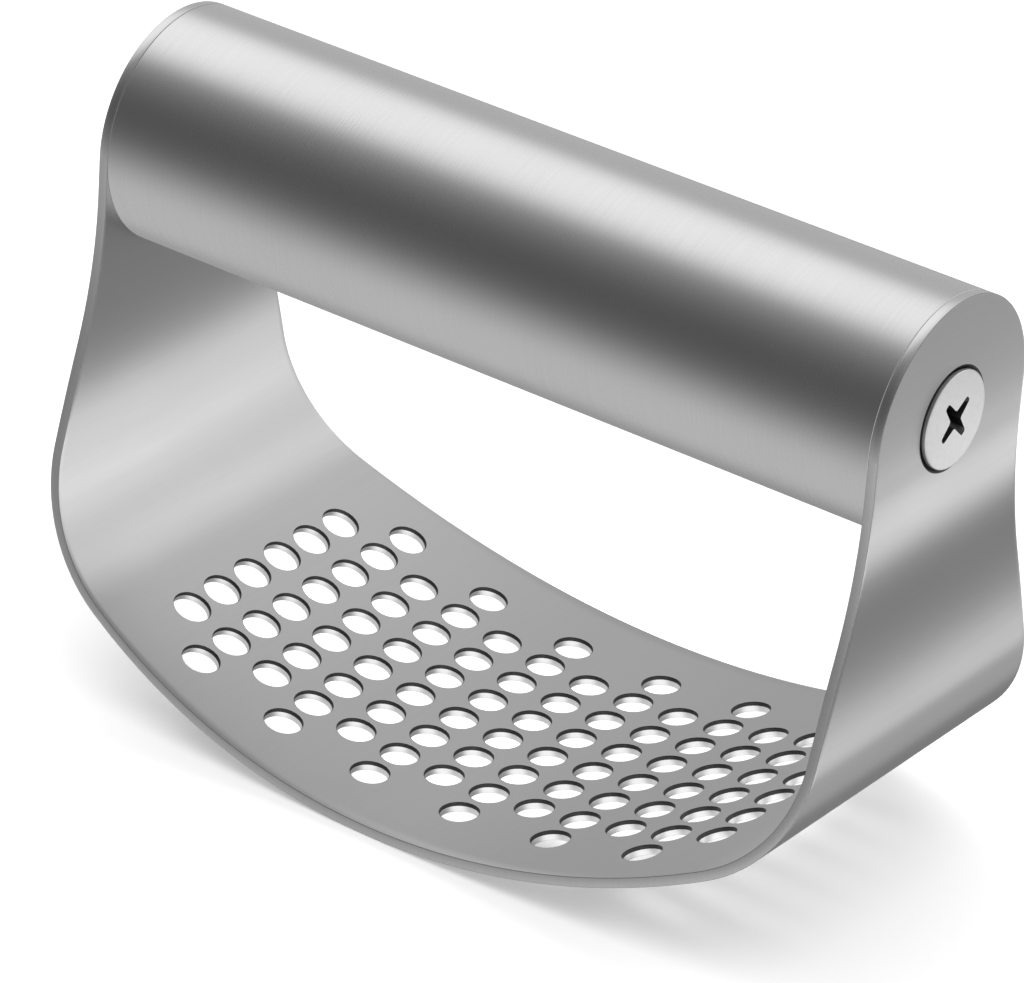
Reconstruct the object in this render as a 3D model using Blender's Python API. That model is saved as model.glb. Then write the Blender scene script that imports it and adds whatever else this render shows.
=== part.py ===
"""Rocking garlic press: a perforated, bent sheet with two ears and a tube handle held by two screws.

Metres, +Z up. X runs along the handle, Y across the sheet. The origin is under the middle of the
sheet's belly, on the surface that the press rocks on.

The sheet is drawn flat first, as (u, y): u is the distance along its middle layer from the centre of
the belly. bend() then rolls that drawing into the belly arc, the two corner bends and the two walls.
"""

import math

import bmesh
import bpy
from mathutils import Vector
from mathutils.geometry import delaunay_2d_cdt

# ---- Driving dimensions -------------------------------------------------------------------------

SHEET_T = 0.0012            # stainless sheet
BELLY_R = 0.0960            # rocking radius, to the middle of the sheet
BELLY_HALF_ANGLE = math.radians(26.2)
CORNER_R = 0.0175           # bend between the belly and a wall, to the middle of the sheet
WALL_LENGTH = 0.0342        # straight wall, from the end of the bend to the handle's axis

BELLY_HALF_WIDTH = 0.0285   # half the sheet's width at its widest, in the middle
BELLY_EDGE_R = 0.2470       # the flat outline's long convex arc
NECK_R = 0.0600             # the flat outline's concave arc, between the long arc and the ear

HOLE_R = 0.00225
HOLE_COLUMNS = 13           # along u; columns are alternately short and long
HOLES_SHORT = 6
HOLES_LONG = 8
PITCH_U = 0.00635
PITCH_Y = 0.00550

TUBE_R = 0.0140             # outside radius of the handle, and radius of the ears
TUBE_WALL = 0.0010
GAP = 0.0003                # kept between touching pieces

HEAD_R = 0.00565            # M6 countersunk head, standing a little proud of the ear
HEAD_PROUD = 0.00045
HEAD_EDGE = 0.00012         # small chamfer on the head's rim
SHANK_R = 0.0030
SCREW_LENGTH = 0.0150       # from the ear's outer face to the tip
SINK_CLEARANCE = 0.0004     # radial, between the head's cone and the ear's countersink
BORE_R = SHANK_R + GAP

RECESS_SPAN = 0.0030        # cross recess: half its span, half its wing thickness and its depth
RECESS_HALF_WING = 0.00062
RECESS_DEPTH = 0.0026
RECESS_TAPER = 0.45         # size of the recess at its bottom, compared with its mouth
RECESS_TURN = {"right": math.radians(40), "left": math.radians(12)}

PLUG_LENGTH = 0.0150        # moulded plug in each end of the handle
PLUG_FACE = 0.0045          # thickness of its closed outer end
PLUG_RIM = 0.0020
PLUG_HUB_R = 0.0080
PLUG_RIBS = 6
PLUG_RIB_T = 0.0018

NUT_FLATS = 0.0100          # M6 nut, captive in the plug's hexagonal pocket
NUT_T = 0.0050
NUT_CHAMFER = 0.0005

HOLE_SEGMENTS = 12
ROUND_SEGMENTS = 48
SCREW_SEGMENTS = 32
BEND_STEPS = 7              # facets in each corner bend
NECK_STEPS = 6              # outline points along each concave arc
EAR_STEPS = 22              # outline points round each ear

# ---- Worked out from them -----------------------------------------------------------------------

U_BELLY = BELLY_R * BELLY_HALF_ANGLE
U_BEND = U_BELLY + CORNER_R * (math.pi / 2 - BELLY_HALF_ANGLE)
U_AXIS = U_BEND + WALL_LENGTH
BEND_CENTRE_X = (BELLY_R - CORNER_R) * math.sin(BELLY_HALF_ANGLE)
BEND_CENTRE_Z = SHEET_T / 2 + BELLY_R - (BELLY_R - CORNER_R) * math.cos(BELLY_HALF_ANGLE)
WALL_X = BEND_CENTRE_X + CORNER_R
AXIS_Z = BEND_CENTRE_Z + WALL_LENGTH
EAR_FACE_X = WALL_X + SHEET_T / 2
TUBE_END_X = WALL_X - SHEET_T / 2 - GAP

BELLY_EDGE_Y = BELLY_HALF_WIDTH - BELLY_EDGE_R
NECK_Y = TUBE_R + NECK_R
NECK_U = math.sqrt((BELLY_EDGE_R + NECK_R) ** 2 - (NECK_Y - BELLY_EDGE_Y) ** 2)
TANGENT_U = NECK_U * BELLY_EDGE_R / (BELLY_EDGE_R + NECK_R)


# ---- Helpers ------------------------------------------------------------------------------------

def clear_scene():
    for thing in list(bpy.data.objects):
        bpy.data.objects.remove(thing, do_unlink=True)


def steel(name, grey, roughness):
    return principled(name, (grey, grey, grey * 0.99, 1.0), roughness, 1.0)


def principled(name, colour, roughness, metallic):
    material = bpy.data.materials.new(name)
    material.use_nodes = True
    shader = material.node_tree.nodes["Principled BSDF"]
    shader.inputs["Base Color"].default_value = colour
    shader.inputs["Roughness"].default_value = roughness
    shader.inputs["Metallic"].default_value = metallic
    material.diffuse_color = colour
    return material


def add_object(name, bm, material=None):
    bmesh.ops.recalc_face_normals(bm, faces=bm.faces)
    mesh = bpy.data.meshes.new(name)
    bm.to_mesh(mesh)
    bm.free()
    mesh.shade_smooth()
    mesh.set_sharp_from_angle(angle=math.radians(28))
    thing = bpy.data.objects.new(name, mesh)
    bpy.context.scene.collection.objects.link(thing)
    if material:
        mesh.materials.append(material)
    return thing


def add_cutter(name, bm, target):
    """A hidden solid that is cut out of the target."""
    cutter = add_object(name, bm)
    cutter.hide_render = True
    cutter.display_type = "WIRE"
    cutter.parent = target
    cut = target.modifiers.new(name, "BOOLEAN")
    cut.operation = "DIFFERENCE"
    cut.solver = "EXACT"
    cut.object = cutter
    return cutter


def turned(profile, segments, closed):
    """Turn (x, radius) points about the X axis; closed joins the last point to the first."""
    bm = bmesh.new()
    points = [bm.verts.new((x, 0, radius)) for x, radius in profile]
    edges = [bm.edges.new(pair) for pair in zip(points, points[1:])]
    if closed:
        edges.append(bm.edges.new((points[-1], points[0])))
    bmesh.ops.spin(bm, geom=points + edges, axis=(1, 0, 0), cent=(0, 0, 0),
                   angle=2 * math.pi, steps=segments, use_merge=True)
    bmesh.ops.remove_doubles(bm, verts=bm.verts, dist=1e-7)
    return bm


def prism(outline, low_x, high_x, low_scale=1.0):
    """A prism along X over a (y, z) outline; its low end may be smaller than its high end."""
    bm = bmesh.new()
    low = [bm.verts.new((low_x, y * low_scale, z * low_scale)) for y, z in outline]
    high = [bm.verts.new((high_x, y, z)) for y, z in outline]
    bm.faces.new(low)
    bm.faces.new(high)
    count = len(outline)
    for i in range(count):
        after = (i + 1) % count
        bm.faces.new((low[i], low[after], high[after], high[i]))
    return bm


def regular(count, radius, turn=0.0):
    steps = [turn + 2 * math.pi * i / count for i in range(count)]
    return [(radius * math.cos(a), radius * math.sin(a)) for a in steps]


def place(thing, side):
    """Set a piece made for the right end on the handle's axis, or turned round for the left end."""
    thing.location = (0, 0, AXIS_Z)
    if side == "left":
        thing.rotation_euler = (0, 0, math.pi)


# ---- Rocker plate -------------------------------------------------------------------------------

def bend(u):
    """Where a point of the flat drawing lands: x, z and the sheet's slope there."""
    side = math.copysign(1.0, u)
    run = abs(u)
    if run <= U_BELLY:
        slope = run / BELLY_R
        x = BELLY_R * math.sin(slope)
        z = SHEET_T / 2 + BELLY_R * (1 - math.cos(slope))
    elif run <= U_BEND:
        slope = BELLY_HALF_ANGLE + (run - U_BELLY) / CORNER_R
        x = BEND_CENTRE_X + CORNER_R * math.sin(slope)
        z = BEND_CENTRE_Z - CORNER_R * math.cos(slope)
    else:
        slope = math.pi / 2
        x = WALL_X
        z = BEND_CENTRE_Z + run - U_BEND
    return side * x, z, side * slope


def half_width(u):
    """Half the flat sheet's width below the ears."""
    run = abs(u)
    if run <= TANGENT_U:
        return BELLY_EDGE_Y + math.sqrt(BELLY_EDGE_R ** 2 - run ** 2)
    if run < NECK_U:
        return NECK_Y - math.sqrt(NECK_R ** 2 - (NECK_U - run) ** 2)
    return TUBE_R


def evenly(start, end, steps):
    return [start + (end - start) * i / steps for i in range(steps + 1)]


def bend_lines():
    """Distances u of the straight lines that the sheet is faceted along."""
    columns = [(i - HOLE_COLUMNS / 2) * PITCH_U for i in range(HOLE_COLUMNS + 1)]
    corner = evenly(U_BELLY, U_BEND, BEND_STEPS)
    return [-u for u in reversed(corner)] + columns + corner


def outline():
    """The flat outline, counter-clockwise from the left ear along its front edge."""
    wall = evenly(U_BEND, TANGENT_U, 3)[1:] + evenly(TANGENT_U, NECK_U, NECK_STEPS)[1:]
    stations = [-u for u in reversed(wall)] + bend_lines() + wall
    front = [(u, -half_width(u)) for u in stations]
    ear = [-math.pi / 2 + math.pi * i / EAR_STEPS for i in range(EAR_STEPS + 1)]
    right = [(U_AXIS + TUBE_R * math.cos(a), TUBE_R * math.sin(a)) for a in ear]
    half = front + right
    return half + [(-u, -y) for u, y in half]


def hole_centres():
    centres = []
    for column in range(HOLE_COLUMNS):
        count = HOLES_LONG if column % 2 else HOLES_SHORT
        u = (column - (HOLE_COLUMNS - 1) / 2) * PITCH_U
        centres += [(u, (i - (count - 1) / 2) * PITCH_Y) for i in range(count)]
    return centres


def sink_radius(depth):
    """The countersink's radius at a depth below the ear's outer face: a 90 degree cone."""
    return HEAD_R + SINK_CLEARANCE - depth


def flat_sheet():
    """Triangles of the flat drawing, with its openings left out."""
    loops = [outline()]
    turn = math.pi / HOLE_SEGMENTS
    for u, y in hole_centres():
        loops.append([(u + a, y + b) for a, b in regular(HOLE_SEGMENTS, HOLE_R, turn)])
    for u in (-U_AXIS, U_AXIS):
        ring = regular(SCREW_SEGMENTS, sink_radius(SHEET_T))
        loops.append([(u + a, b) for a, b in ring])
    points = []
    edges = []
    for loop in loops:
        first = len(points)
        points += [Vector(p) for p in loop]
        edges += [(first + i, first + (i + 1) % len(loop)) for i in range(len(loop))]
    for u in bend_lines():
        first = len(points)
        points += [Vector((u, -half_width(u))), Vector((u, half_width(u)))]
        edges.append((first, first + 1))
    points, _, faces, *_ = delaunay_2d_cdt(points, edges, [], 1, 1e-7, False)
    openings = [(Vector(c), HOLE_R) for c in hole_centres()]
    openings += [(Vector((u, 0)), sink_radius(SHEET_T)) for u in (-U_AXIS, U_AXIS)]
    kept = []
    for face in faces:
        middle = sum((points[i] for i in face), Vector((0, 0))) / len(face)
        if not any((middle - centre).length < radius for centre, radius in openings):
            kept.append(face)
    return points, kept


def bent_point(point, offset):
    """A point of the flat drawing on the bent sheet, offset outwards from its middle layer."""
    u, y = point
    x, z, slope = bend(u)
    return Vector((x + offset * math.sin(slope), y, z - offset * math.cos(slope)))


def opened(point):
    """On the sheet's outer side the screw's hole is wider, because it is countersunk."""
    centre = Vector((math.copysign(U_AXIS, point[0]), 0))
    spoke = point - centre
    if spoke.length < sink_radius(SHEET_T) * 1.01:
        return centre + spoke.normalized() * sink_radius(0)
    return point


def build_rocker_plate(material):
    points, faces = flat_sheet()
    bm = bmesh.new()
    inner = [bm.verts.new(bent_point(p, -SHEET_T / 2)) for p in points]
    outer = [bm.verts.new(bent_point(opened(p), SHEET_T / 2)) for p in points]
    sides = set()
    for face in faces:
        bm.faces.new([inner[i] for i in face])
        bm.faces.new([outer[i] for i in reversed(face)])
        sides.update(zip(face, face[1:] + face[:1]))
    for a, b in sorted(sides):
        if (b, a) not in sides:
            bm.faces.new((inner[b], inner[a], outer[a], outer[b]))
    return add_object("rocker_plate", bm, material)


# ---- Handle -------------------------------------------------------------------------------------

def build_handle_tube(material):
    bore = TUBE_R - TUBE_WALL
    break_edge = TUBE_WALL / 4
    half = [
        (TUBE_END_X - break_edge, TUBE_R),
        (TUBE_END_X, TUBE_R - break_edge),
        (TUBE_END_X, bore),
    ]
    profile = [(-x, r) for x, r in half] + [(x, r) for x, r in reversed(half)]
    tube = add_object("handle_tube", turned(profile, ROUND_SEGMENTS, closed=True), material)
    tube.location = (0, 0, AXIS_Z)
    return tube


def rib_pocket(index):
    """The (y, z) outline of the moulding's pocket between two ribs."""
    wall_r = TUBE_R - TUBE_WALL - GAP - PLUG_RIM
    start = 2 * math.pi * index / PLUG_RIBS
    end = start + 2 * math.pi / PLUG_RIBS
    points = []
    for radius, way in ((PLUG_HUB_R, 1), (wall_r, -1)):
        trim = math.asin(PLUG_RIB_T / 2 / radius)
        arc = evenly(start + trim, end - trim, 4)[::way]
        points += [(radius * math.cos(a), radius * math.sin(a)) for a in arc]
    return points


def build_end_plug(side, material):
    """Moulded plug: closed outer end, ribbed behind, with a hexagonal pocket for the nut."""
    radius = TUBE_R - TUBE_WALL - GAP
    inner_x = TUBE_END_X - PLUG_LENGTH
    lead_in = 0.0006
    mouth = sink_radius(EAR_FACE_X - TUBE_END_X)
    profile = [
        (TUBE_END_X - (mouth - BORE_R), BORE_R),
        (TUBE_END_X, mouth),
        (TUBE_END_X, radius - lead_in / 2),
        (TUBE_END_X - lead_in / 2, radius),
        (inner_x + lead_in, radius),
        (inner_x, radius - lead_in),
        (inner_x, BORE_R),
    ]
    name = f"end_plug_{side}"
    plug = add_object(name, turned(profile, ROUND_SEGMENTS, closed=True), material)
    past = inner_x - 0.001
    pocket_r = (NUT_FLATS / 2 + GAP) / math.cos(math.pi / 6)
    pocket_x = inner_x + NUT_T + GAP * 2
    add_cutter(f"{name}_nut_pocket", prism(regular(6, pocket_r), past, pocket_x), plug)
    pockets = bmesh.new()
    for index in range(PLUG_RIBS):
        single = prism(rib_pocket(index), past, TUBE_END_X - PLUG_FACE)
        mesh = bpy.data.meshes.new("rib_pocket")
        single.to_mesh(mesh)
        single.free()
        pockets.from_mesh(mesh)
        bpy.data.meshes.remove(mesh)
    add_cutter(f"{name}_rib_pockets", pockets, plug)
    place(plug, side)
    return plug


def build_hex_nut(side, material):
    """Hexagon nut lying in the plug's pocket, its corners chamfered on both faces."""
    low = TUBE_END_X - PLUG_LENGTH + GAP
    high = low + NUT_T
    corner_r = NUT_FLATS / 2 / math.cos(math.pi / 6)
    name = f"hex_nut_{side}"
    nut = add_object(name, prism(regular(6, corner_r), low, high), material)
    past = 0.001
    bore = prism(regular(SCREW_SEGMENTS, BORE_R), low - past, high + past)
    add_cutter(f"{name}_bore", bore, nut)
    wide = corner_r + past
    flat_r = corner_r - NUT_CHAMFER * 1.6
    for end, way in ((low, 1), (high, -1)):
        ring = [
            (end - way * past, flat_r),
            (end, flat_r),
            (end + way * NUT_CHAMFER, corner_r + 0.0001),
            (end + way * NUT_CHAMFER, wide),
            (end - way * past, wide),
        ]
        add_cutter(f"{name}_chamfer_{'in' if way > 0 else 'out'}",
                   turned(ring, ROUND_SEGMENTS, closed=True), nut)
    place(nut, side)
    return nut


# ---- Screws -------------------------------------------------------------------------------------

def cross_outline(turn):
    """The (y, z) outline of the driver recess: a cross with its inner corners cut across."""
    reach = RECESS_SPAN
    wing = RECESS_HALF_WING
    web = wing * 1.7
    arm = [(reach, -wing), (reach, wing), (web + wing / 2, wing), (wing, web + wing / 2)]
    points = []
    for quarter in range(4):
        angle = turn + quarter * math.pi / 2
        c = math.cos(angle)
        s = math.sin(angle)
        points += [(y * c - z * s, y * s + z * c) for y, z in arm]
    return points


def build_screw(side, material):
    face = EAR_FACE_X
    top = face + HEAD_PROUD
    tip = face - SCREW_LENGTH
    profile = [
        (top, 0.0),
        (top, HEAD_R - HEAD_EDGE),
        (top - HEAD_EDGE, HEAD_R),
        (face, HEAD_R),
        (face - (HEAD_R - SHANK_R), SHANK_R),
        (tip + SHANK_R / 3, SHANK_R),
        (tip, SHANK_R * 2 / 3),
        (tip, 0.0),
    ]
    name = f"screw_{side}"
    screw = add_object(name, turned(profile, SCREW_SEGMENTS, closed=False), material)
    above = 0.0006
    grow = 1 + above / RECESS_DEPTH * (1 - RECESS_TAPER)
    mouth = [(y * grow, z * grow) for y, z in cross_outline(RECESS_TURN[side])]
    recess = prism(mouth, top - RECESS_DEPTH, top + above, RECESS_TAPER / grow)
    add_cutter(f"{name}_recess", recess, screw)
    place(screw, side)
    return screw


# ---- Assembly -----------------------------------------------------------------------------------

def main():
    clear_scene()
    press = bpy.data.objects.new("garlic_press", None)
    bpy.context.scene.collection.objects.link(press)
    pieces = [
        build_rocker_plate(steel("satin_sheet_steel", 0.56, 0.34)),
        build_handle_tube(steel("satin_tube_steel", 0.60, 0.28)),
    ]
    plug_plastic = principled("plug_plastic", (0.045, 0.045, 0.048, 1.0), 0.55, 0.0)
    screw_steel = steel("polished_screw_steel", 0.82, 0.18)
    nut_steel = steel("zinc_nut_steel", 0.66, 0.38)
    for side in ("left", "right"):
        pieces.append(build_end_plug(side, plug_plastic))
        pieces.append(build_hex_nut(side, nut_steel))
        pieces.append(build_screw(side, screw_steel))
    for piece in pieces:
        piece.parent = press


main()
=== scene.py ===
import math

import bmesh
import bpy
from mathutils import Matrix, Vector


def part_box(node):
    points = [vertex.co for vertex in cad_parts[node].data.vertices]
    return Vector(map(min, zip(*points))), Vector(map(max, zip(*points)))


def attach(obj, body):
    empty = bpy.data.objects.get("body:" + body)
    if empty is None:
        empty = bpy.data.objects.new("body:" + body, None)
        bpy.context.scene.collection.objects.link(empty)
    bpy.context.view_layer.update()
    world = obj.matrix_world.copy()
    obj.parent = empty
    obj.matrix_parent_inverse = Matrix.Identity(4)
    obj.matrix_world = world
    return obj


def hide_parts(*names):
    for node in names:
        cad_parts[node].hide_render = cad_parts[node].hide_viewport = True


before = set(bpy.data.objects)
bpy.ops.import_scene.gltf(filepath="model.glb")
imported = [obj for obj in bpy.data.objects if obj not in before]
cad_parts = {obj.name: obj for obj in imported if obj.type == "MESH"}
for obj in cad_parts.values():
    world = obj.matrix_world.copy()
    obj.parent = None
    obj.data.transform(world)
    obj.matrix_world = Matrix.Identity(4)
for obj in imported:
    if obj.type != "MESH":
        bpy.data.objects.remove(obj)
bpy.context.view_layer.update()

# ---- Dimensions, in metres ----------------------------------------------------------------------
# The sheet is drawn flat as (u, y) and then bent, with the same driving dimensions as the CAD part.

SHEET_T = 0.0012
BELLY_R = 0.0960
BELLY_HALF_ANGLE = math.radians(26.2)
CORNER_R = 0.0175
BELLY_EDGE_R = 0.2470
NECK_R = 0.0600
EAR_R = 0.0140

HOLE_R = 0.00225
HOLE_COLUMNS = 13
HOLE_ROWS = 8
PITCH_U = 0.00635
PITCH_Y = 0.00550

PLATE_LOW, PLATE_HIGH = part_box("rocker_plate")
EAR_FACE_X = PLATE_HIGH.x
AXIS_Z = PLATE_HIGH.z - EAR_R
BELLY_HALF_WIDTH = PLATE_HIGH.y

EDGE_ROUND = 0.00006        # deburred edges of the sheet
HOLE_ROUND = 0.00008
HOLE_SHADE_DEPTH = 0.00048        # how far down its wall a punched hole is painted dark: painted shade under the hole's top rim
SUPPORT = 0.00008           # flat ring that keeps an edge's shading tight

# The sheet's materials, in the order of its slots.
SHEET_FINISHES = (
    "sheet_steel_satin",
    "sheet_steel_cut_edge",
    "hole_wall_painted_light",
    "tube_steel_satin",
    "hole_wall_painted_shade",
    "sheet_edge_rounding_painted_shade",
)
FACE_SLOT = 0
# Painted light: the lower part of each hole's wall is near-white, standing in for the bright floor
# seen through the hole.
CUT_SLOT = 1
HOLE_LIGHT_SLOT = 2
EAR_ARC_SLOT = 3            # the ear's round edge is ground together with the tube
# Painted shade: the dark top band of every hole's wall, and the whole countersink round each screw
# head.
PAINTED_SHADE_SLOT = 4
EDGE_SHADE_SLOT = 5               # the rounding on either side of a cut edge, painted darker than the edge: painted shade that hides the highlight the rounding would catch

HALF_T = SHEET_T / 2
U_BELLY = BELLY_R * BELLY_HALF_ANGLE
U_BEND = U_BELLY + CORNER_R * (math.pi / 2 - BELLY_HALF_ANGLE)
BEND_X = (BELLY_R - CORNER_R) * math.sin(BELLY_HALF_ANGLE)
BEND_Z = HALF_T + BELLY_R - (BELLY_R - CORNER_R) * math.cos(BELLY_HALF_ANGLE)
WALL_X = BEND_X + CORNER_R
U_AXIS = U_BEND + AXIS_Z - BEND_Z
BELLY_EDGE_Y = BELLY_HALF_WIDTH - BELLY_EDGE_R
NECK_Y = EAR_R + NECK_R
NECK_U = math.sqrt((BELLY_EDGE_R + NECK_R) ** 2 - (NECK_Y - BELLY_EDGE_Y) ** 2)
TANGENT_U = NECK_U * BELLY_EDGE_R / (BELLY_EDGE_R + NECK_R)
LATTICE_U = HOLE_COLUMNS / 2 * PITCH_U
LATTICE_Y = HOLE_ROWS / 2 * PITCH_Y

CELL_STEPS = 8              # mesh steps along each side of a hole's cell
MARGIN_STEPS = 4            # from the field of holes to the belly's edge
FIELD_END_STEPS = 3         # from the field of holes to the bend
BEND_STEPS = 20
WALL_STEPS = 14
EDGE_ROUND_STEPS = 3
EAR_LENGTH = 0.0125         # below the tube's axis, the part of the wall that the spokes cover
EAR_BASE_U = U_AXIS - EAR_LENGTH
EAR_SIDE_STEPS = 8
EAR_ARC_STEPS = 72
EAR_RINGS = (0, 0.03, 0.3, 0.6, 0.85)       # shares of the way from the ear's outline to the screw
WELD = 1e-6                 # points closer than this are one point

SCREW_R = 0.00565
SCREW_PROUD = 0.00045
SINK_CLEARANCE = 0.0004
SINK_MOUTH_R = SCREW_R + SINK_CLEARANCE
SINK_FLOOR_R = SINK_MOUTH_R - SHEET_T       # a 90 degree countersink right through the sheet


# ---- Flat sheet ---------------------------------------------------------------------------------

def evenly(start, end, steps):
    return [start + (end - start) * i / steps for i in range(steps + 1)]


def mixed(a, b, share):
    return (a[0] + (b[0] - a[0]) * share, a[1] + (b[1] - a[1]) * share)


def edge(u, side):
    """Point and outward normal of the flat outline below the ears; side is -1 at the front."""
    run = abs(u)
    if run <= TANGENT_U:
        reach = math.sqrt(BELLY_EDGE_R ** 2 - run ** 2)
        half = BELLY_EDGE_Y + reach
        tilt = run / BELLY_EDGE_R
    elif run < NECK_U:
        reach = math.sqrt(NECK_R ** 2 - (NECK_U - run) ** 2)
        half = NECK_Y - reach
        tilt = (NECK_U - run) / NECK_R
    else:
        half = EAR_R
        tilt = 0.0
    normal = (math.copysign(tilt, u), side * math.sqrt(1 - tilt ** 2))
    return (u, side * half), normal


def ear_arc(steps):
    """Points and normals round the right ear, from the front to the back."""
    angles = evenly(-math.pi / 2, math.pi / 2, steps)
    return [((U_AXIS + EAR_R * math.cos(a), EAR_R * math.sin(a)), (math.cos(a), math.sin(a)))
            for a in angles]


def moved(point, normal, distance):
    return (point[0] + normal[0] * distance, point[1] + normal[1] * distance)


def flat_edge(u, side):
    """Where the sheet's flat face ends and the edge's rounding begins."""
    point, normal = edge(u, side)
    return moved(point, normal, -EDGE_ROUND)


class Blank:
    """Quads of the flat sheet, each corner given as (u, y, offset from the middle layer)."""

    def __init__(self):
        self.bm = bmesh.new()

    def quad(self, corners, slot=FACE_SLOT):
        face = self.bm.faces.new([self.bm.verts.new(c) for c in corners])
        face.material_index = slot

    def strip(self, row_a, row_b, offset):
        """Quads between two rows of (u, y) points on one face of the sheet."""
        for i in range(len(row_a) - 1):
            corners = (row_a[i], row_a[i + 1], row_b[i + 1], row_b[i])
            self.quad([(u, y, offset) for u, y in corners])

    def both(self, row_a, row_b):
        """The same strip on both faces of the sheet."""
        for offset in (-HALF_T, HALF_T):
            self.strip(row_a, row_b, offset)

    def rim(self, loop, profile, slot):
        """Skin over a closed edge: profile points are (distance along the normal, offset)."""
        rings = [[(*moved(p, n, d), o) for p, n in loop] for d, o in profile]
        count = len(loop)
        for low, high in zip(rings, rings[1:]):
            for i in range(count):
                after = (i + 1) % count
                self.quad((low[i], low[after], high[after], high[i]), slot)

    def cut_edge(self, loop, profile):
        """Skin over the sheet's outline: rounded sides, a cut middle, and the ears' ground arcs."""
        rings = [[(*moved(p, n, d), o) for p, n in loop] for d, o in profile]
        count = len(loop)
        for low, high in zip(rings, rings[1:]):
            crosses_middle = low[0][2] * high[0][2] < 0
            for i in range(count):
                after = (i + 1) % count
                on_arc = min(abs(low[i][0]), abs(low[after][0])) >= U_AXIS - WELD
                # The roundings take painted shade, so that the edges show no highlight.
                slot = EDGE_SHADE_SLOT
                if crosses_middle:
                    slot = EAR_ARC_SLOT if on_arc else CUT_SLOT
                self.quad((low[i], low[after], high[after], high[i]), slot)


def edge_profile(radius):
    """Section through a sheet edge that is rounded on both sides."""
    turns = evenly(0, math.pi / 2, EDGE_ROUND_STEPS)
    low = [(radius * (math.sin(a) - 1), radius * (1 - math.cos(a)) - HALF_T) for a in turns]
    return low + [(d, -o) for d, o in reversed(low)]


def ring(centre, radius, directions):
    return [(centre[0] + radius * c, centre[1] + radius * s) for c, s in directions]


def spokes_from(loop, centre):
    """Directions from the centre to each point of the loop."""
    found = []
    for u, y in loop:
        length = math.hypot(u - centre[0], y - centre[1])
        found.append(((u - centre[0]) / length, (y - centre[1]) / length))
    return found


def closed(points):
    return points + points[:1]


def hole_cell(blank, centre):
    """A square cell of the sheet with a round hole."""
    half_u = PITCH_U / 2
    half_y = PITCH_Y / 2
    corners = [(-1, -1), (1, -1), (1, 1), (-1, 1)]
    loop = []
    for (a, b), (c, d) in zip(corners, corners[1:] + corners[:1]):
        for share in evenly(0, 1, CELL_STEPS)[:-1]:
            u = centre[0] + half_u * (a + (c - a) * share)
            y = centre[1] + half_y * (b + (d - b) * share)
            loop.append((u, y))
    directions = spokes_from(loop, centre)
    support = ring(centre, HOLE_R + HOLE_ROUND + SUPPORT, directions)
    flat_end = ring(centre, HOLE_R + HOLE_ROUND, directions)
    halfway = [mixed(a, b, 0.5) for a, b in zip(loop, support)]
    rows = [closed(row) for row in (loop, halfway, support, flat_end)]
    for row_a, row_b in zip(rows, rows[1:]):
        blank.both(row_a, row_b)
    wall = ring(centre, HOLE_R, directions)
    wall_loop = [(p, (-c, -s)) for p, (c, s) in zip(wall, directions)]
    profile = edge_profile(HOLE_ROUND)
    middle = len(profile) // 2
    # Painted shade: the top band of the wall is painted dark.
    shaded_band = profile[:middle] + [(0, HOLE_SHADE_DEPTH - HALF_T)]
    blank.rim(wall_loop, shaded_band, PAINTED_SHADE_SLOT)
    # Painted light: the rest of the wall, down to the bottom face, is painted near-white.
    blank.rim(wall_loop, shaded_band[-1:] + profile[middle:], HOLE_LIGHT_SLOT)


def plain_cell(blank, centre):
    """A cell of the same size without a hole."""
    us = evenly(centre[0] - PITCH_U / 2, centre[0] + PITCH_U / 2, CELL_STEPS)
    ys = evenly(centre[1] - PITCH_Y / 2, centre[1] + PITCH_Y / 2, CELL_STEPS)
    rows = [[(u, y) for u in us] for y in ys]
    for row_a, row_b in zip(rows, rows[1:]):
        blank.both(row_a, row_b)


def perforated_field(blank):
    """All the cells: every second column is two holes shorter."""
    for column in range(HOLE_COLUMNS):
        for row in range(HOLE_ROWS):
            centre = ((column + 0.5) * PITCH_U - LATTICE_U, (row + 0.5) * PITCH_Y - LATTICE_Y)
            outside = row in (0, HOLE_ROWS - 1)
            if outside and column % 2 == 0:
                plain_cell(blank, centre)
            else:
                hole_cell(blank, centre)


def margin_row(u, side):
    """Points from the perforated field's border to the flat edge."""
    inner = (u, side * LATTICE_Y)
    return [mixed(inner, flat_edge(u, side), t) for t in evenly(0, 1, MARGIN_STEPS)]


def margins(blank):
    """The sheet between the field of holes and the belly's front and back edges."""
    stations = evenly(-LATTICE_U, LATTICE_U, HOLE_COLUMNS * CELL_STEPS)
    for side in (-1, 1):
        rows = [margin_row(u, side) for u in stations]
        for row_a, row_b in zip(rows, rows[1:]):
            blank.both(row_a, row_b)


def cross_row(u, sign):
    """Points right across the sheet beyond the perforated field, spaced as at its border."""
    border = sign * LATTICE_U
    front = margin_row(border, -1)[:0:-1]
    field = [(border, y) for y in evenly(-LATTICE_Y, LATTICE_Y, HOLE_ROWS * CELL_STEPS)]
    back = margin_row(border, 1)[1:]
    row = front + field + back
    if u == LATTICE_U:
        return row
    low = flat_edge(sign * u, -1)
    high = flat_edge(sign * u, 1)
    start = row[0][1]
    span = row[-1][1] - start
    return [mixed(low, high, (y - start) / span) for _, y in row]


def wall_stations():
    """Where the rows across the sheet lie between the field of holes and the ear."""
    belly_end = evenly(LATTICE_U, U_BELLY, FIELD_END_STEPS)[:-1]
    bend = evenly(U_BELLY, U_BEND, BEND_STEPS)
    return belly_end + bend + evenly(U_BEND, EAR_BASE_U, WALL_STEPS)[1:]


def walls(blank):
    for sign in (-1, 1):
        rows = [cross_row(u, sign) for u in wall_stations()]
        for row_a, row_b in zip(rows, rows[1:]):
            blank.both(row_a, row_b)


EAR_SIDE = evenly(EAR_BASE_U, U_AXIS, EAR_SIDE_STEPS)[1:-1]


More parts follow.
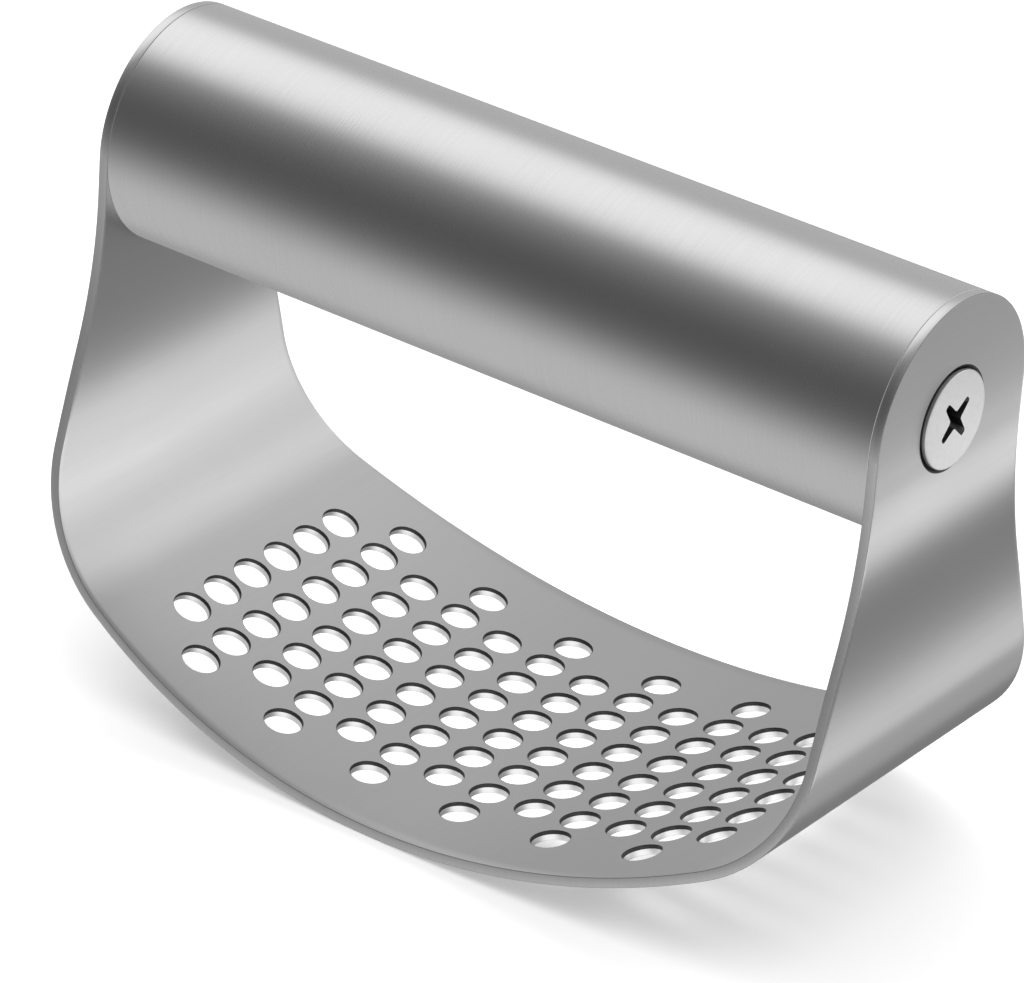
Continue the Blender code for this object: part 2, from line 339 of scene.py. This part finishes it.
def ear(blank, sign):
    """The ear round the screw: spokes from its outline to the countersunk hole."""
    base = [(abs(u), y) for u, y in cross_row(EAR_BASE_U, sign)]
    front = [flat_edge(u, -1) for u in EAR_SIDE]
    arc = [moved(p, n, -EDGE_ROUND) for p, n in ear_arc(EAR_ARC_STEPS)]
    back = [flat_edge(u, 1) for u in reversed(EAR_SIDE)]
    loop = front + arc + back + base[::-1]
    centre = (U_AXIS, 0.0)
    directions = spokes_from(loop, centre)
    for offset, radius in ((-HALF_T, SINK_FLOOR_R), (HALF_T, SINK_MOUTH_R)):
        last = ring(centre, radius + EDGE_ROUND, directions)
        support = ring(centre, radius + EDGE_ROUND + SUPPORT, directions)
        rows = [[mixed(a, b, t) for a, b in zip(loop, support)] for t in EAR_RINGS]
        rows += [support, last]
        rows = [closed([(u * sign, y) for u, y in row]) for row in rows]
        for row_a, row_b in zip(rows, rows[1:]):
            blank.strip(row_a, row_b, offset)
    sink = [((sign * (U_AXIS + SINK_FLOOR_R * c), SINK_FLOOR_R * s), (-c * sign, -s))
            for c, s in directions]
    soft = EDGE_ROUND / 2
    slight = EDGE_ROUND * 0.15
    mouth = SINK_FLOOR_R - SINK_MOUTH_R
    profile = [
        (-EDGE_ROUND, -HALF_T),
        (-2 * slight, -HALF_T + slight),
        (0, -HALF_T + soft),
        (mouth + soft, HALF_T - soft),
        (mouth - soft, HALF_T - slight),
        (mouth - EDGE_ROUND, HALF_T),
    ]
    # The countersink is painted dark, a painted shade ring round the screw head.
    blank.rim(sink, profile, PAINTED_SHADE_SLOT)


def outline():
    """The whole flat outline in order, as points with outward normals."""
    far = sorted(set(wall_stations() + EAR_SIDE))
    field = evenly(-LATTICE_U, LATTICE_U, HOLE_COLUMNS * CELL_STEPS)
    stations = [-u for u in reversed(far)] + field[1:-1] + far
    front = [edge(u, -1) for u in stations]
    half = front + ear_arc(EAR_ARC_STEPS)
    return half + [((-u, -y), (-c, -s)) for (u, y), (c, s) in half]


def bent(u, y, offset):
    """Where a point of the flat sheet lands once the sheet is bent."""
    run = abs(u)
    if run <= U_BELLY:
        slope = run / BELLY_R
        x = BELLY_R * math.sin(slope)
        z = HALF_T + BELLY_R * (1 - math.cos(slope))
    elif run <= U_BEND:
        slope = BELLY_HALF_ANGLE + (run - U_BELLY) / CORNER_R
        x = BEND_X + CORNER_R * math.sin(slope)
        z = BEND_Z - CORNER_R * math.cos(slope)
    else:
        slope = math.pi / 2
        x = WALL_X
        z = BEND_Z + run - U_BEND
    x += offset * math.sin(slope)
    z -= offset * math.cos(slope)
    return math.copysign(x, u) if run else 0.0, y, z


def build_sheet(materials):
    blank = Blank()
    perforated_field(blank)
    margins(blank)
    walls(blank)
    ear(blank, 1)
    ear(blank, -1)
    blank.cut_edge(outline(), edge_profile(EDGE_ROUND))
    bm = blank.bm
    bmesh.ops.remove_doubles(bm, verts=bm.verts, dist=WELD)
    for vertex in bm.verts:
        vertex.co = Vector(bent(*vertex.co))
    bm.normal_update()
    bmesh.ops.recalc_face_normals(bm, faces=bm.faces)
    return add_piece("rocker_sheet", bm, materials)


# ---- Turned pieces ------------------------------------------------------------------------------

def add_piece(name, bm, materials, sharp_angle=180):
    """Turn a bmesh into a smooth object; edges past sharp_angle, in degrees, stay sharp."""
    mesh = bpy.data.meshes.new(name)
    bm.to_mesh(mesh)
    bm.free()
    mesh.shade_smooth()
    if sharp_angle < 180:
        mesh.set_sharp_from_angle(angle=math.radians(sharp_angle))
    for material in materials:
        mesh.materials.append(material)
    thing = bpy.data.objects.new(name, mesh)
    bpy.context.scene.collection.objects.link(thing)
    return thing


def turned(profile, segments, loop):
    """Turn (x, radius) points about the X axis. A radius may be a function of the angle."""
    bm = bmesh.new()
    angles = [2 * math.pi * i / segments for i in range(segments)]
    rings = []
    for x, radius in profile:
        if radius == 0.0:
            rings.append([bm.verts.new((x, 0, 0))])
            continue
        ring_verts = []
        for a in angles:
            r = radius(a) if callable(radius) else radius
            ring_verts.append(bm.verts.new((x, r * math.cos(a), r * math.sin(a))))
        rings.append(ring_verts)
    pairs = list(zip(rings, rings[1:]))
    if loop:
        pairs.append((rings[-1], rings[0]))
    for low, high in pairs:
        for i in range(segments):
            after = (i + 1) % segments
            if len(low) == 1:
                bm.faces.new((low[0], high[after], high[i]))
            elif len(high) == 1:
                bm.faces.new((low[i], low[after], high[0]))
            else:
                bm.faces.new((low[i], low[after], high[after], high[i]))
    bmesh.ops.recalc_face_normals(bm, faces=bm.faces)
    return bm


def arc_points(centre_x, centre_r, radius, start, end, steps):
    """Profile points along an arc; angles in degrees, from +X towards larger radius."""
    angles = [math.radians(a) for a in evenly(start, end, steps)]
    return [(centre_x + radius * math.cos(a), centre_r + radius * math.sin(a)) for a in angles]


TUBE_WALL = 0.0010
TUBE_SEAT = 0.00002         # what is left between the tube's ends and the ears
TUBE_ROUND = 0.00004
TUBE_ROUND_STEPS = 4
TUBE_SEGMENTS = 160
TUBE_BODY_STEPS = 24
TUBE_BODY_END = 0.002       # the body's rings stop this far from the ends


def build_tube(materials):
    """The hollow handle between the ears."""
    end_x = EAR_FACE_X - SHEET_T - TUBE_SEAT
    bore = EAR_R - TUBE_WALL
    centre_x = end_x - TUBE_ROUND
    outside = arc_points(centre_x, EAR_R - TUBE_ROUND, TUBE_ROUND, 90, 0, TUBE_ROUND_STEPS)
    inside = arc_points(centre_x, bore + TUBE_ROUND, TUBE_ROUND, 0, -90, TUBE_ROUND_STEPS)
    support = [(centre_x - SUPPORT, EAR_R)]
    half = support + outside + inside + [(centre_x - SUPPORT, bore)]
    body = evenly(-centre_x + TUBE_BODY_END, centre_x - TUBE_BODY_END, TUBE_BODY_STEPS)
    profile = [(x, EAR_R) for x in body] + half
    profile += [(x, bore) for x in reversed(body)]
    profile += [(-x, r) for x, r in reversed(half)]
    tube = add_piece("handle_sleeve", turned(profile, TUBE_SEGMENTS, loop=True), materials)
    tube.location = (0, 0, AXIS_Z)
    return tube


THREAD_R = 0.0029
THREAD_DEPTH = 0.0005
THREAD_PITCH = 0.0010
THREAD_RINGS = 8            # rings along the shank for each turn of the thread
SCREW_LENGTH = 0.0150
SCREW_SEGMENTS = 64
SCREW_TIP_SHARE = 0.72
HEAD_ROUND = 0.00012
HEAD_ROUND_STEPS = 5
HEAD_RING_R = 0.0042        # a ring on the flat head, just outside the recess
HEAD_BREAK = 0.0002         # small steps where the cone meets the head and the shank
SHARP_TURNED = 32
SHARP_CUT = 30


def thread_radius(x, fade):
    """Radius of a V thread round the shank at one place along it, as a function of the angle."""
    def radius(angle):
        phase = (x / THREAD_PITCH - angle / (2 * math.pi)) % 1.0
        return THREAD_R - THREAD_DEPTH * fade * abs(2 * phase - 1)
    return radius


RECESS_DEPTH = 0.0026
RECESS_POINT = 0.0005       # how far the pyramid at the bottom goes below the recess
RECESS_SPAN = 0.0029
RECESS_WING = 0.00064
# Rings of the recess from above the head down: height, and shares of the full span and wing.
RECESS_RINGS = (
    (0.0006, 1.10, 1.05),
    (0.0, 1.0, 1.0),
    (-0.0012, 0.72, 0.86),
    (-RECESS_DEPTH, 0.42, 0.72),
)
# Shape of one wing's end, as shares of half the wing's width.
WING_FILLET = 0.6
WING_INSET = 0.3
WING_SHOULDER = 0.66
WING_TIP = 0.36
WING_FILLET_STEPS = 5


def cross_ring(reach, wing, turn):
    """A cross with tapered wings and filleted inner corners."""
    fillet = wing * WING_FILLET
    shoulder = reach - wing * WING_INSET
    tip = [(shoulder, -wing * WING_SHOULDER), (reach, -wing * WING_TIP),
           (reach, wing * WING_TIP), (shoulder, wing * WING_SHOULDER)]
    centre = wing + fillet
    corner = []
    for degrees in evenly(0, 90, WING_FILLET_STEPS):
        a = math.radians(degrees)
        corner.append((centre - fillet * math.sin(a), centre - fillet * math.cos(a)))
    points = []
    for quarter in range(4):
        angle = turn + quarter * math.pi / 2
        c = math.cos(angle)
        s = math.sin(angle)
        points += [(p * c - q * s, p * s + q * c) for p, q in tip + corner]
    return points


def build_recess_cutter(name, top, turn, material):
    """A tapered cross whose floor ends in a small pyramid, as a driver bit leaves it."""
    bm = bmesh.new()
    rings = []
    for height, span_share, wing_share in RECESS_RINGS:
        cross = cross_ring(RECESS_SPAN * span_share, RECESS_WING * wing_share, turn)
        rings.append([bm.verts.new((top + height, y, z)) for y, z in cross])
    bm.faces.new(rings[0])
    count = len(rings[0])
    for low, high in zip(rings, rings[1:]):
        for i in range(count):
            after = (i + 1) % count
            bm.faces.new((low[i], low[after], high[after], high[i]))
    tip = bm.verts.new((top - RECESS_DEPTH - RECESS_POINT, 0, 0))
    for i in range(count):
        bm.faces.new((rings[-1][i], rings[-1][(i + 1) % count], tip))
    bmesh.ops.recalc_face_normals(bm, faces=bm.faces)
    return add_piece(name, bm, [material])


def build_screw(side, materials, turn):
    """A countersunk screw; the second material, painted shade, lines the recess, turned by the
    given angle.
    """
    face = EAR_FACE_X
    top = face + SCREW_PROUD
    neck_x = face - (SCREW_R - THREAD_R)
    tip_x = face - SCREW_LENGTH
    rim = arc_points(top - HEAD_ROUND, SCREW_R - HEAD_ROUND, HEAD_ROUND, 0, 90, HEAD_ROUND_STEPS)
    profile = [(top, 0.0), (top, HEAD_RING_R), (top, SCREW_R - HEAD_ROUND - SUPPORT)] + rim
    profile += [(face, SCREW_R), (face - HEAD_BREAK, SCREW_R - HEAD_BREAK)]
    profile += [(neck_x + HEAD_BREAK, THREAD_R + HEAD_BREAK), (neck_x, THREAD_R)]
    steps = int((neck_x - tip_x) / THREAD_PITCH * THREAD_RINGS)
    for x in evenly(neck_x, tip_x, steps)[1:]:
        start = min((neck_x - x) / (2 * THREAD_PITCH), 1.0)
        profile.append((x, thread_radius(x, start)))
    profile += [(tip_x, THREAD_R * SCREW_TIP_SHARE), (tip_x, 0.0)]
    blank = turned(profile, SCREW_SEGMENTS, loop=False)
    screw = add_piece(f"cross_screw_{side}", blank, materials, SHARP_TURNED)
    cutter = build_recess_cutter(f"recess_{side}", top, turn, materials[1])
    cut_recess(screw, cutter)
    screw.location = (0, 0, AXIS_Z)
    if side == "left":
        screw.rotation_euler = (0, 0, math.pi)
    return screw


def cut_recess(screw, cutter):
    """Take the cutter out of the screw for good; the cut faces keep the cutter's material."""
    cut = screw.modifiers.new("recess", "BOOLEAN")
    cut.operation = "DIFFERENCE"
    cut.solver = "EXACT"
    cut.material_mode = "TRANSFER"
    cut.object = cutter
    bpy.context.view_layer.update()
    graph = bpy.context.evaluated_depsgraph_get()
    mesh = bpy.data.meshes.new_from_object(screw.evaluated_get(graph))
    mesh.set_sharp_from_angle(angle=math.radians(SHARP_CUT))
    screw.modifiers.remove(cut)
    old = screw.data
    screw.data = mesh
    bpy.data.meshes.remove(old)
    bpy.data.objects.remove(cutter)


# ---- Materials ----------------------------------------------------------------------------------

MIX_A = 6                   # a Mix node's colour sockets share names with its other sockets
MIX_B = 7
MIX_RESULT = 2


class NodeTree:
    """Short way to add and wire shader nodes."""

    def __init__(self, tree):
        self.tree = tree

    def add(self, kind, **settings):
        node = self.tree.nodes.new("ShaderNode" + kind)
        for key, value in settings.items():
            setattr(node, key, value)
        return node

    def link(self, source, target):
        self.tree.links.new(source, target)

    def noise(self, scale, detail, stretch=(1, 1, 1), roughness=0.6):
        """Noise in the object's own metres, stretched where a factor is small."""
        place = self.add("TexCoord")
        mapping = self.add("Mapping")
        mapping.inputs["Scale"].default_value = stretch
        self.link(place.outputs["Object"], mapping.inputs["Vector"])
        noise = self.add("TexNoise")
        noise.inputs["Scale"].default_value = scale
        noise.inputs["Detail"].default_value = detail
        noise.inputs["Roughness"].default_value = roughness
        self.link(mapping.outputs["Vector"], noise.inputs["Vector"])
        return noise.outputs["Fac"]

    def ranged(self, value, from_low, from_high, low, high, smooth=False):
        """The value, clamped and carried from one range to another."""
        node = self.add("MapRange", interpolation_type="SMOOTHSTEP" if smooth else "LINEAR")
        node.inputs["From Min"].default_value = from_low
        node.inputs["From Max"].default_value = from_high
        node.inputs["To Min"].default_value = low
        node.inputs["To Max"].default_value = high
        self.link(value, node.inputs["Value"])
        return node.outputs["Result"]

    def math(self, operation, a, b):
        node = self.add("Math", operation=operation)
        for socket, value in zip(node.inputs, (a, b)):
            if isinstance(value, (int, float)):
                socket.default_value = value
            else:
                self.link(value, socket)
        return node.outputs["Value"]

    def blend(self, share, colour_a, colour_b):
        node = self.add("Mix", data_type="RGBA")
        node.inputs[MIX_A].default_value = (*colour_a, 1)
        node.inputs[MIX_B].default_value = (*colour_b, 1)
        self.link(share, node.inputs[0])
        return node.outputs[MIX_RESULT]


class Nodes(NodeTree):
    """A new material with its Principled shader."""

    def __init__(self, name):
        self.material = bpy.data.materials.new(name)
        self.material.use_nodes = True
        super().__init__(self.material.node_tree)
        self.shader = self.tree.nodes["Principled BSDF"]

    def bump(self, height, strength, distance):
        node = self.add("Bump")
        node.inputs["Strength"].default_value = strength
        node.inputs["Distance"].default_value = distance
        self.link(height, node.inputs["Height"])
        self.link(node.outputs["Normal"], self.shader.inputs["Normal"])


EVEN = (1, 1, 1)
ALONG_SHEET = (1, 0.02, 1)
ALONG_TUBE = (1, 0.02, 0.02)
THROUGH_SHEET = (1, 1, 0.05)

# Each steel: tone and its spread, roughness and its spread, stretch of the grain, its scale and
# the strength of its bump.
STEELS = {
    "sheet_steel_satin": (0.50, 0.013, 0.30, 0.02, ALONG_SHEET, 3400.0, 0.05),
    "sheet_steel_cut_edge": (0.66, 0.02, 0.55, 0.04, THROUGH_SHEET, 2600.0, 0.15),
    # Painted light: near-white steel for the lower part of the hole walls.
    "hole_wall_painted_light": (0.93, 0.03, 0.35, 0.04, EVEN, 2600.0, 0.10),
    # Painted shade: darker steel on the edge roundings, hiding their highlight.
    "sheet_edge_rounding_painted_shade": (0.30, 0.02, 0.50, 0.04, EVEN, 2600.0, 0.10),
    # Painted shade: near-black steel for the top band of the hole walls and the countersinks.
    "hole_wall_painted_shade": (0.07, 0.02, 0.60, 0.05, EVEN, 2600.0, 0.25),
    "tube_steel_satin": (0.66, 0.016, 0.27, 0.02, ALONG_TUBE, 3400.0, 0.05),
    "screw_steel_polished": (0.75, 0.03, 0.42, 0.05, EVEN, 1800.0, 0.10),
    # Painted shade: near-black steel lining the screw recesses.
    "screw_recess_painted_shade": (0.10, 0.03, 0.45, 0.05, EVEN, 1800.0, 0.20),
    "nut_steel_zinc": (0.62, 0.04, 0.36, 0.06, EVEN, 1200.0, 0.20),
}

GRAIN_DETAIL = 5.0
GRAIN_ROUGHNESS = 0.65
GRAIN_SHARE = 0.55          # the rest of the tone comes from the clouds
GRAIN_HEIGHT = 0.00002
CLOUD_SCALE = 45.0
CLOUD_DETAIL = 3.0
CLOUD_ROUGHNESS = 0.5
TONE_LOW = 0.32             # the noise's useful range
TONE_HIGH = 0.68


def grey(value):
    return (value, value, value)


def steel_material(name, base, spread, rough, rough_spread, grain_stretch, grain_scale, bump):
    """Steel: long fine grain, slow cloudy variation in tone and gloss."""
    nodes = Nodes(name)
    nodes.shader.inputs["Metallic"].default_value = 1.0
    grain = nodes.noise(grain_scale, GRAIN_DETAIL, grain_stretch, GRAIN_ROUGHNESS)
    cloud = nodes.noise(CLOUD_SCALE, CLOUD_DETAIL, EVEN, CLOUD_ROUGHNESS)
    grain_part = nodes.math("MULTIPLY", grain, GRAIN_SHARE)
    cloud_part = nodes.math("MULTIPLY", cloud, 1 - GRAIN_SHARE)
    mottle = nodes.math("ADD", grain_part, cloud_part)
    tone = nodes.ranged(mottle, TONE_LOW, TONE_HIGH, 0.0, 1.0)
    colour = nodes.blend(tone, grey(base - spread), grey(base + spread))
    nodes.link(colour, nodes.shader.inputs["Base Color"])
    gloss = nodes.ranged(tone, 0.0, 1.0, rough + rough_spread, rough - rough_spread)
    nodes.link(gloss, nodes.shader.inputs["Roughness"])
    nodes.bump(grain, bump, GRAIN_HEIGHT)
    return nodes.material


PLASTIC_SCALE = 900.0
PLASTIC_DETAIL = 3.0
PLASTIC_BUMP = 0.3
PLASTIC_HEIGHT = 0.00003
PLASTIC_NOISE = (0.3, 0.7)  # the noise's useful range
PLASTIC_TONES = (0.03, 0.06)
PLASTIC_ROUGHNESS = (0.50, 0.65)


def plastic_material(name):
    """Dark moulded plastic with a fine even texture."""
    nodes = Nodes(name)
    fine = nodes.noise(PLASTIC_SCALE, PLASTIC_DETAIL)
    share = nodes.ranged(fine, *PLASTIC_NOISE, 0, 1)
    dark, light = PLASTIC_TONES
    nodes.link(nodes.blend(share, grey(dark), grey(light)), nodes.shader.inputs["Base Color"])
    rough = nodes.ranged(fine, *PLASTIC_NOISE, *PLASTIC_ROUGHNESS)
    nodes.link(rough, nodes.shader.inputs["Roughness"])
    nodes.bump(fine, PLASTIC_BUMP, PLASTIC_HEIGHT)
    return nodes.material


# ---- Studio -------------------------------------------------------------------------------------

CAMERA_AZIMUTH = math.radians(34.94)
CAMERA_ELEVATION = math.radians(28.17)
CAMERA_ROLL = math.radians(4.05)
CAMERA_DISTANCE = 0.7535
CAMERA_TARGET = Vector((-0.00251, -0.00085, 0.03138))
CAMERA_LENS = 237.25
CAMERA_SENSOR = 36.0
CAMERA_CLIP = (0.01, 50.0)

FLOOR_SIZE = 6.0
FLOOR_TONE = 0.80
FLOOR_ROUGHNESS = 0.9
FLOOR_GLOW = 0.25
# An oval of extra light on the floor under the belly, so that the holes read white.
POOL_GLOW = 0.65
POOL_CENTRE = (-0.008, 0.006, 0)
POOL_REACH = (0.043, 0.028, 1)
POOL_EDGE = (0.80, 1.10)    # shares of the reach between which the extra light fades out

SOFTBOX_PLACE = (-0.35, 0.20, 1.6)
SOFTBOX_AIM = (0, 0, 0.03)
SOFTBOX_SIZE = (2.6, 2.8)
SOFTBOX_RADIANCE = 0.80

STRIP_LENGTH = 0.20
STRIP_REACH = 0.020
STRIP_SPREAD = math.radians(170)
INNER_REACH = 0.0237        # the strip inside the left corner stays clear of the bend
INNER_SPREAD = math.radians(130)    # and is narrower, so that the bend mirrors it less
LEFT_FACE_X = SHEET_T - EAR_FACE_X
# Strips that only the sheet mirrors: name, the wall's x, the band's height above the floor, how
# tall it is, radiance, reach from the wall, spread.
SHEET_STRIPS = (
    ("right_band_upper", EAR_FACE_X, 0.0518, 0.008, 1.44, STRIP_REACH, STRIP_SPREAD),
    ("right_band_top", EAR_FACE_X, 0.0720, 0.030, 0.28, STRIP_REACH, STRIP_SPREAD),
    ("right_band_lower", EAR_FACE_X, 0.0260, 0.009, 1.03, STRIP_REACH, STRIP_SPREAD),
    ("left_band", LEFT_FACE_X, 0.0283, 0.0125, 1.93, INNER_REACH, INNER_SPREAD),
)
CORNER_CARD_PLACE = (0.0600, 0.02, 0.0010)
CORNER_CARD_SIZE = (0.014, 0.12)
CORNER_CARD_RADIANCE = 0.34

SCREW_CARD_HEIGHT = 0.030
SCREW_CARD_LENGTH = 0.034
SCREW_CARD_REACH = 0.045
SCREW_CARD_RADIANCE = 1.03

SURROUND = 0.56
FLOOR_SHARE = 1.55          # how much brighter the surround is to the floor than in reflections
# Broad lobes added to the surround: direction, the two cosines the lobe ramps between, strength.
LOBES = (
    ((-0.505, -0.800, 0.320), 0.42, 1.20, -0.55),
    ((0.200, 0.650, -0.730), 0.50, 0.95, -0.30),
    ((-0.620, 0.240, 0.740), 0.82, 0.985, 0.69),
    ((0.600, 0.720, 0.300), 0.75, 1.00, 0.58),
    ((0.150, 0.720, 0.680), 0.82, 0.99, 0.34),
    ((-0.450, -0.400, -0.800), 0.60, 1.00, 0.12),
    ((0.620, -0.600, -0.480), 0.60, 0.94, 0.48),
)


def add_camera():
    """The photo's view: a long lens, rolled a little."""
    camera = bpy.data.objects.new("photo_camera", bpy.data.cameras.new("photo_camera"))
    bpy.context.scene.collection.objects.link(camera)
    flat = math.cos(CAMERA_ELEVATION)
    forward = Vector((-math.sin(CAMERA_AZIMUTH) * flat, math.cos(CAMERA_AZIMUTH) * flat,
                      -math.sin(CAMERA_ELEVATION)))
    level = forward.cross(Vector((0, 0, 1))).normalized()
    upright = level.cross(forward)
    right = level * math.cos(CAMERA_ROLL) + upright * math.sin(CAMERA_ROLL)
    up = upright * math.cos(CAMERA_ROLL) - level * math.sin(CAMERA_ROLL)
    place = Matrix((right, up, -forward)).transposed().to_4x4()
    place.translation = CAMERA_TARGET - forward * CAMERA_DISTANCE
    camera.matrix_world = place
    camera.data.lens = CAMERA_LENS
    camera.data.sensor_width = CAMERA_SENSOR
    camera.data.clip_start, camera.data.clip_end = CAMERA_CLIP
    bpy.context.scene.camera = camera


def mirrored_view():
    """Where the camera's line of sight goes after an upright wall across x mirrors it."""
    flat = math.cos(CAMERA_ELEVATION)
    return Vector((math.sin(CAMERA_AZIMUTH) * flat, math.cos(CAMERA_AZIMUTH) * flat,
                   -math.sin(CAMERA_ELEVATION)))


def add_floor():
    """A plain pale floor that glows a little, more so under the belly."""
    bm = bmesh.new()
    bmesh.ops.create_grid(bm, x_segments=1, y_segments=1, size=FLOOR_SIZE)
    nodes = Nodes("pale_floor")
    nodes.shader.inputs["Base Color"].default_value = (*grey(FLOOR_TONE), 1)
    nodes.shader.inputs["Roughness"].default_value = FLOOR_ROUGHNESS
    nodes.shader.inputs["Specular IOR Level"].default_value = 0.0
    nodes.shader.inputs["Emission Color"].default_value = (1, 1, 1, 1)
    place = nodes.add("TexCoord")
    offset = nodes.add("VectorMath", operation="SUBTRACT")
    offset.inputs[1].default_value = POOL_CENTRE
    nodes.link(place.outputs["Object"], offset.inputs[0])
    share = nodes.add("VectorMath", operation="DIVIDE")
    share.inputs[1].default_value = POOL_REACH
    nodes.link(offset.outputs["Vector"], share.inputs[0])
    distance = nodes.add("VectorMath", operation="LENGTH")
    nodes.link(share.outputs["Vector"], distance.inputs[0])
    inside = FLOOR_GLOW + POOL_GLOW
    glow = nodes.ranged(distance.outputs["Value"], *POOL_EDGE, inside, FLOOR_GLOW, smooth=True)
    nodes.link(glow, nodes.shader.inputs["Emission Strength"])
    floor = add_piece("floor", bm, [nodes.material])
    floor.visible_glossy = False


def add_area(name, place, aim, size, radiance):
    """A rectangular light of the given radiance, unseen by the camera."""
    data = bpy.data.lights.new(name, "AREA")
    data.shape = "RECTANGLE"
    data.size = size[0]
    data.size_y = size[1]
    data.energy = radiance * math.pi * size[0] * size[1]
    light = bpy.data.objects.new(name, data)
    light.location = place
    light.rotation_euler = (Vector(place) - Vector(aim)).to_track_quat("Z", "Y").to_euler()
    light.visible_camera = False
    bpy.context.scene.collection.objects.link(light)
    return light


def add_wall_strip(name, wall_x, wall_z, height, radiance, reach, spread, length=STRIP_LENGTH):
    """A lit strip beside a wall, where the wall mirrors it into the camera.

    Only reflections show it, as a long level band that is centred at wall_z. The radiance is
    the one seen square on: it falls off towards the edge of the spread.
    """
    ray = mirrored_view()
    across = Vector((0, 1, 0))
    outward = Vector((ray.x, 0, ray.z)).normalized()
    upward = outward.cross(across)
    strip = add_area(name, (0, 0, 0), (0, 0, -1), (length, height * upward.z), radiance)
    half = spread / 2
    strip.data.spread = spread
    strip.data.energy *= (math.tan(half) - half) / math.tan(half)
    strip.matrix_world = Matrix((across, upward, outward)).transposed().to_4x4()
    strip.matrix_world.translation = Vector((wall_x, 0, wall_z)) + ray * reach
    strip.visible_diffuse = False
    strip.visible_shadow = False
    return strip


def add_bounce(name, place, size, radiance):
    """A level card facing up that only reflections show."""
    card = add_area(name, place, Vector(place) + Vector((0, 0, 1)), size, radiance)
    card.visible_diffuse = False
    card.visible_shadow = False
    return card


def light_only(lights, name, pieces):
    """Keep close lights off everything but the named pieces."""
    group = bpy.data.collections.new(name)
    for piece in pieces:
        group.objects.link(bpy.data.objects[piece])
    for light in lights:
        light.light_linking.receiver_collection = group


def add_world():
    """A smooth grey surround with a few broad darker and brighter lobes.

    The camera itself sees plain white.
    """
    world = bpy.data.worlds.new("studio")
    world.use_nodes = True
    nodes = NodeTree(world.node_tree)
    place = nodes.add("TexCoord")
    level = SURROUND
    for direction, start, end, strength in LOBES:
        toward = nodes.add("VectorMath", operation="DOT_PRODUCT")
        toward.inputs[1].default_value = Vector(direction).normalized()
        nodes.link(place.outputs["Generated"], toward.inputs[0])
        lobe = nodes.ranged(toward.outputs["Value"], start, end, 0.0, strength, smooth=True)
        level = nodes.math("ADD", level, lobe)
    path = nodes.add("LightPath")
    share = nodes.ranged(path.outputs["Is Diffuse Ray"], 0.0, 1.0, 1.0, FLOOR_SHARE)
    seen = nodes.add("Mix")
    nodes.link(path.outputs["Is Camera Ray"], seen.inputs["Factor"])
    nodes.link(nodes.math("MULTIPLY", level, share), seen.inputs["A"])
    seen.inputs["B"].default_value = 1.0
    background = nodes.tree.nodes["Background"]
    nodes.link(seen.outputs["Result"], background.inputs["Strength"])
    background.inputs["Color"].default_value = (1, 1, 1, 1)
    bpy.context.scene.world = world


# ---- Assembly -----------------------------------------------------------------------------------

RIGHT_RECESS_TURN = math.radians(40)
LEFT_RECESS_TURN = math.radians(12)

add_camera()
add_floor()
add_world()
softbox = add_area("overhead_softbox", SOFTBOX_PLACE, SOFTBOX_AIM, SOFTBOX_SIZE, SOFTBOX_RADIANCE)
softbox.visible_glossy = False
sheet_lights = [add_wall_strip(*strip) for strip in SHEET_STRIPS]
sheet_lights.append(
    add_bounce("right_corner_card", CORNER_CARD_PLACE, CORNER_CARD_SIZE, CORNER_CARD_RADIANCE))
screw_card = add_wall_strip("screw_card", EAR_FACE_X, AXIS_Z, SCREW_CARD_HEIGHT,
                            SCREW_CARD_RADIANCE, SCREW_CARD_REACH, STRIP_SPREAD,
                            SCREW_CARD_LENGTH)
bpy.context.scene.view_settings.view_transform = "Standard"

steels = {name: steel_material(name, *finish) for name, finish in STEELS.items()}
plug_plastic = plastic_material("plug_plastic_moulded")
screw_finishes = [steels["screw_steel_polished"], steels["screw_recess_painted_shade"]]

# Each new piece, the CAD node that it stands for, and a slot name that the loop below does not use.
sheet = build_sheet([steels[name] for name in SHEET_FINISHES])
pieces = [
    (sheet, "rocker_plate", "sheet_steel"),
    (build_tube([steels["tube_steel_satin"]]), "handle_tube", "tube_steel"),
    (build_screw("right", screw_finishes, RIGHT_RECESS_TURN), "screw_right", "screw_steel"),
    (build_screw("left", screw_finishes, LEFT_RECESS_TURN), "screw_left", "screw_steel"),
]
for piece, node, slot in pieces:
    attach(piece, "root")
    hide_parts(node)

light_only(sheet_lights, "sheet_light_receivers", ["rocker_sheet"])
light_only([screw_card], "screw_card_receivers", ["cross_screw_right"])
sheet.visible_glossy = False            # or its holes would mottle the tube's underside

for side in ("left", "right"):
    for node, material in (("end_plug", plug_plastic), ("hex_nut", steels["nut_steel_zinc"])):
        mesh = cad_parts[f"{node}_{side}"].data
        mesh.materials.clear()
        mesh.materials.append(material)

bpy.context.view_layer.update()
